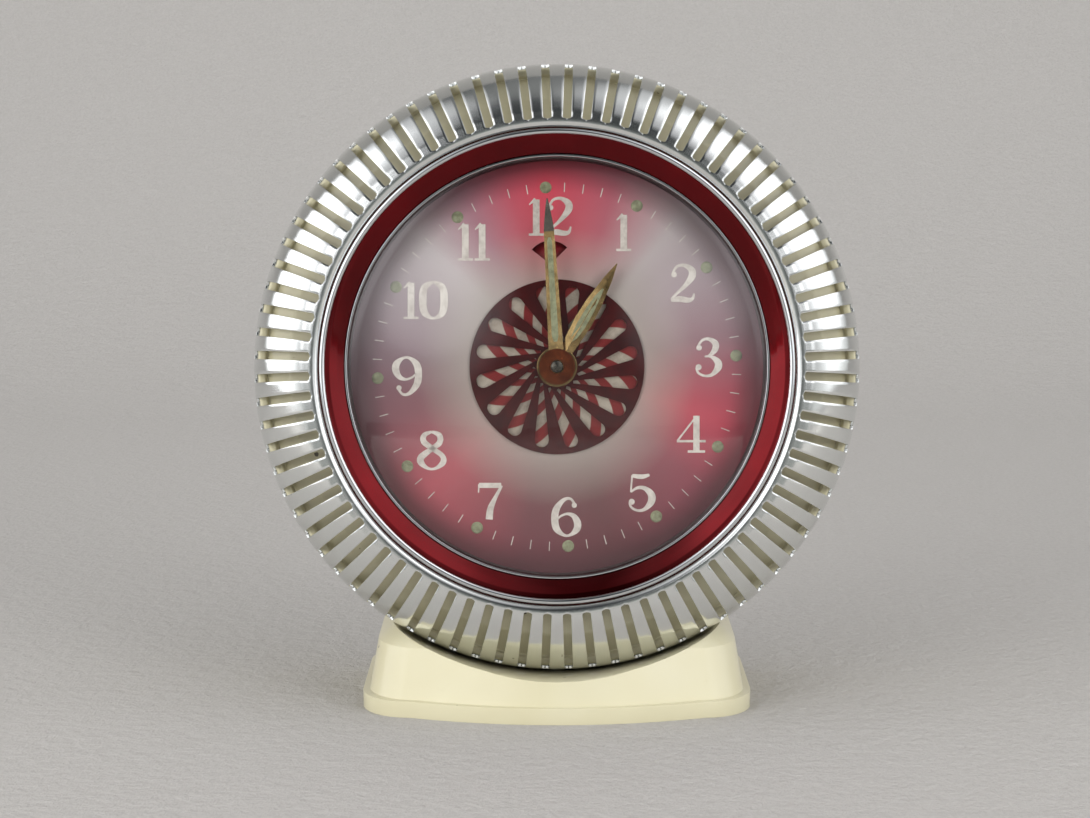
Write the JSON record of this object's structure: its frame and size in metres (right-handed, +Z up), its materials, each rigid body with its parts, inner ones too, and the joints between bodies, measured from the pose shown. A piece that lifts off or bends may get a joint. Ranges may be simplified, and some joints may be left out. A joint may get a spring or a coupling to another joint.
{
  "type": "wind-up alarm clock",
  "caption": "Round wind-up alarm clock leaning back on a cream saddle base, with a slotted polished bezel, red inner ring and a pinwheel dial.",
  "frame": {"origin": "middle of the whole clock's outline in plan, on the surface it stands on", "axes": "+Z up, the dial faces -Y, +X to the right seen from the front"},
  "size_m": [0.112, 0.0588, 0.118],
  "materials": {
    "cream_enamel": "gloss",
    "polished_aluminium": "polished",
    "chrome": "polished",
    "red_lacquer": "gloss",
    "crystal": "clear",
    "dark_paint": "satin",
    "dial_lacquer": "satin",
    "lume": "matte",
    "rosette_red": "gloss",
    "disc_silver": "satin",
    "brass": "satin",
    "steel": "satin",
    "zinc_steel": "satin",
    "hand_gilt": "satin",
    "copper": "polished",
    "felt": "matte"
  },
  "bodies": {
    "case": {"case_shell": "cream_enamel", "base_shell": "cream_enamel", "slotted_bezel": "polished_aluminium", "chrome_bead": "chrome", "red_ring": "red_lacquer", "crystal_lip": "chrome", "crystal": "crystal", "dial_spacer": "dark_paint", "dial_plate": "dial_lacquer", "hour_dots": "lume", "pinwheel_mask": "rosette_red", "front_plate": "brass", "back_plate": "brass", "movement_pillars": "brass", "pillar_nuts": "steel", "dial_pillars": "brass", "hairspring": "steel", "balance_cock": "brass", "bell": "steel", "bell_post": "brass", "back_cover": "zinc_steel", "cover_screws": "steel", "minute_wheel_stud": "steel", "time_mainspring": "steel", "alarm_mainspring": "steel", "time_spring_post": "steel", "alarm_spring_post": "steel", "base_plate": "zinc_steel", "base_felt": "felt", "saddle_screws": "steel"},
    "minute": {"minute_hand": "hand_gilt", "hub_cap": "copper", "centre_wheel": "brass", "time_set_knob": "brass"},
    "hour": {"hour_hand": "hand_gilt", "hour_wheel": "brass"},
    "motion": {"minute_wheel": "brass"},
    "pinwheel": {"pinwheel_disc": "disc_silver"},
    "great": {"great_wheel": "brass"},
    "third": {"third_wheel": "brass"},
    "fourth": {"fourth_wheel": "brass"},
    "escape": {"escape_wheel": "brass"},
    "pallet": {"pallet_fork": "steel"},
    "balance": {"balance_wheel": "brass"},
    "time_winder": {"time_arbor": "steel", "time_key": "brass"},
    "alarm_winder": {"alarm_arbor": "steel", "alarm_key": "brass"},
    "alarm_great": {"alarm_great_wheel": "brass"},
    "alarm_second": {"alarm_second_wheel": "brass"},
    "hammer": {"alarm_hammer": "steel"},
    "alarm_setting": {"alarm_disc": "rosette_red", "alarm_set_arbor": "steel", "alarm_set_knob": "brass"},
    "stop_button": {"alarm_stop": "steel"},
    "regulator": {"regulator_lever": "steel"}
  },
  "joints": [
    {"name": "minute_turn", "type": "hinge", "parent": "case", "child": "minute", "pos_m": [0, -0.01029, 0.06269], "axis": [0, 0.9914, -0.1305], "continuous": true},
    {"name": "hour_turn", "type": "hinge", "parent": "case", "child": "hour", "pos_m": [0, -0.01227, 0.06296], "axis": [0, 0.9914, -0.1305], "continuous": true},
    {"name": "motion_turn", "type": "hinge", "parent": "case", "child": "motion", "pos_m": [0, -0.00795, 0.04978], "axis": [0, 0.9914, -0.1305], "continuous": true},
    {"name": "pinwheel_turn", "type": "hinge", "parent": "case", "child": "pinwheel", "pos_m": [0, -0.00929, 0.06256], "axis": [0, 0.9914, -0.1305], "continuous": true},
    {"name": "great_turn", "type": "hinge", "parent": "case", "child": "great", "pos_m": [0.018, -0.00292, 0.04968], "axis": [0, 0.9914, -0.1305], "continuous": true},
    {"name": "third_turn", "type": "hinge", "parent": "case", "child": "third", "pos_m": [0.01379, 0.00114, 0.07286], "axis": [0, 0.9914, -0.1305], "continuous": true},
    {"name": "fourth_turn", "type": "hinge", "parent": "case", "child": "fourth", "pos_m": [0.0285, 0.00085, 0.07068], "axis": [0, 0.9914, -0.1305], "continuous": true},
    {"name": "escape_turn", "type": "hinge", "parent": "case", "child": "escape", "pos_m": [0.02631, 0.00743, 0.08233], "axis": [0, 0.9914, -0.1305], "continuous": true},
    {"name": "pallet_rock", "type": "hinge", "parent": "case", "child": "pallet", "pos_m": [0.02081, 0.00945, 0.08999], "axis": [0, 0.9914, -0.1305], "range_deg": [-6, 6]},
    {"name": "balance_swing", "type": "hinge", "parent": "case", "child": "balance", "pos_m": [0.01301, 0.01797, 0.09341], "axis": [0, 0.9914, -0.1305], "range_deg": [-200, 200], "deforming": ["hairspring"]},
    {"name": "time_winding", "type": "hinge", "parent": "case", "child": "time_winder", "pos_m": [0.018, 0.0179, 0.04694], "axis": [0, 0.9914, -0.1305], "range_deg": [0, 2160], "deforming": ["time_mainspring"]},
    {"name": "alarm_winding", "type": "hinge", "parent": "case", "child": "alarm_winder", "pos_m": [-0.018, 0.0179, 0.04694], "axis": [0, 0.9914, -0.1305], "range_deg": [0, 2160], "deforming": ["alarm_mainspring"]},
    {"name": "alarm_great_turn", "type": "hinge", "parent": "case", "child": "alarm_great", "pos_m": [-0.018, -0.00391, 0.04981], "axis": [0, 0.9914, -0.1305], "continuous": true},
    {"name": "alarm_second_turn", "type": "hinge", "parent": "case", "child": "alarm_second", "pos_m": [-0.02043, -0.00013, 0.06322], "axis": [0, 0.9914, -0.1305], "continuous": true},
    {"name": "hammer_swing", "type": "hinge", "parent": "case", "child": "hammer", "pos_m": [-0.024, 0.00048, 0.06783], "axis": [0, 0.9914, -0.1305], "range_deg": [-18, 1.4]},
    {"name": "alarm_setting_turn", "type": "hinge", "parent": "case", "child": "alarm_setting", "pos_m": [-0.00119, 0.01201, 0.07879], "axis": [0, 0.9914, -0.1305], "continuous": true},
    {"name": "stop_push", "type": "slide", "parent": "case", "child": "stop_button", "axis": [0, -0.9914, 0.1305], "range_m": [0, 0.0035]},
    {"name": "regulator_swing", "type": "hinge", "parent": "case", "child": "regulator", "pos_m": [0.01301, 0.02044, 0.09308], "axis": [0, 0.9914, -0.1305], "range_deg": [-25, 25]}
  ],
  "couplings": [
    {"joint": "hour_turn", "follows": "minute_turn", "ratio": 0.083333},
    {"joint": "motion_turn", "follows": "minute_turn", "ratio": -0.33333},
    {"joint": "great_turn", "follows": "minute_turn", "ratio": -0.2},
    {"joint": "third_turn", "follows": "minute_turn", "ratio": -8},
    {"joint": "fourth_turn", "follows": "minute_turn", "ratio": 60},
    {"joint": "escape_turn", "follows": "minute_turn", "ratio": -480},
    {"joint": "pinwheel_turn", "follows": "minute_turn", "ratio": -120},
    {"joint": "alarm_second_turn", "follows": "alarm_great_turn", "ratio": -6}
  ]
}
